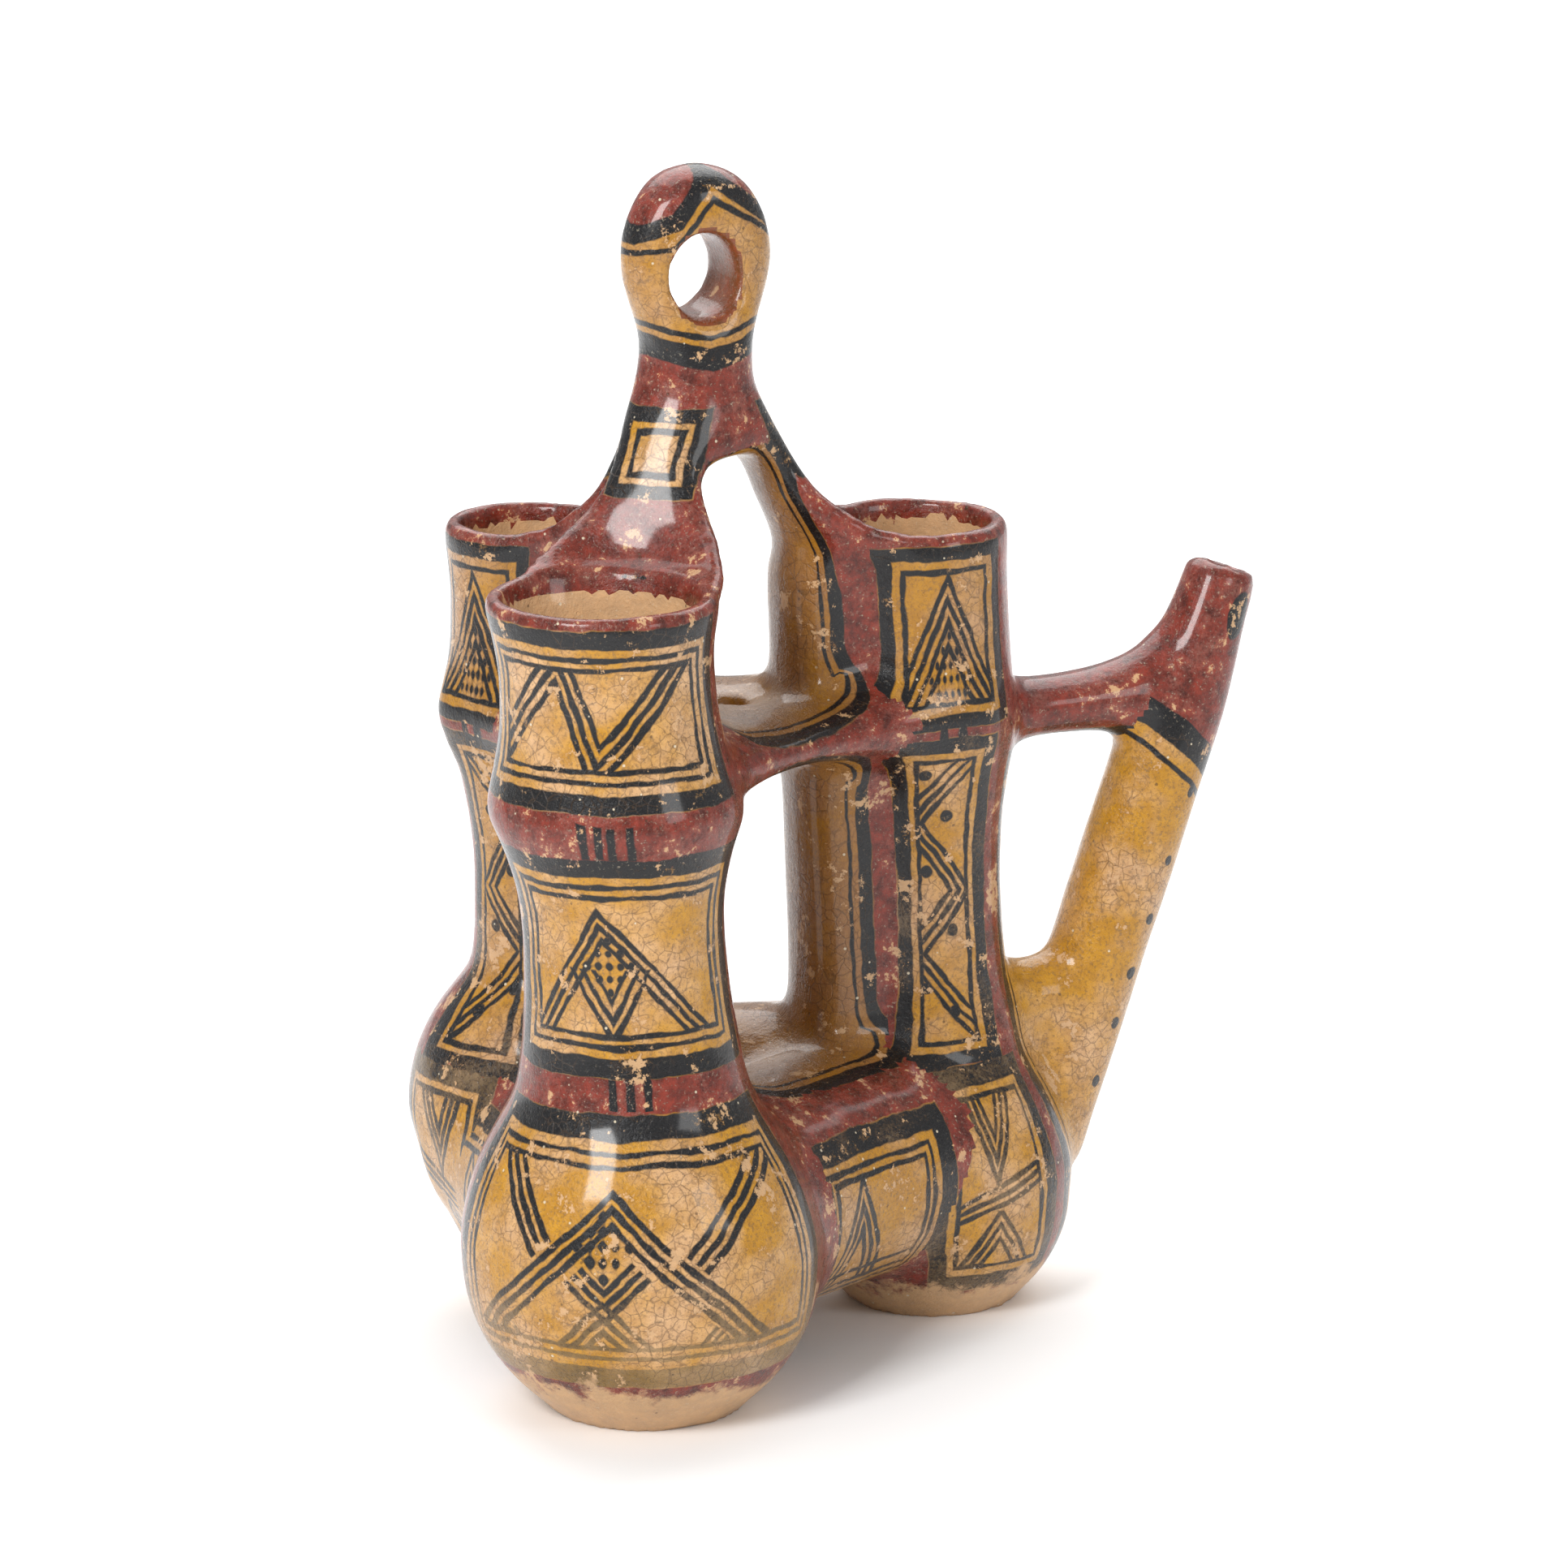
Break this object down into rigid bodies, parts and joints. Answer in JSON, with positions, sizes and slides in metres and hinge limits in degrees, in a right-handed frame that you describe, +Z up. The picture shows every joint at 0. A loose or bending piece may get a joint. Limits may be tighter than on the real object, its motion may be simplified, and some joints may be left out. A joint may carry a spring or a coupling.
{
  "type": "triple water vessel",
  "caption": "Hand-built vessel of gourd-shaped jars joined at belly and ridge, with straps rising to a ring handle and a slanting spout.",
  "frame": {"origin": "middle of the bounding box's underside, on the ground plane under the feet", "axes": "+Z up, +X from the middle of the pot towards the spout, +Y towards the back jar"},
  "size_m": [0.2876, 0.199, 0.3587],
  "materials": {
    "slipped_earthenware": "red, cream and ochre slips with black painted lines under a glossy tree-resin varnish, worn and flaked in places"
  },
  "bodies": {
    "root": {"triple_vase": "slipped_earthenware"}
  },
  "joints": []
}
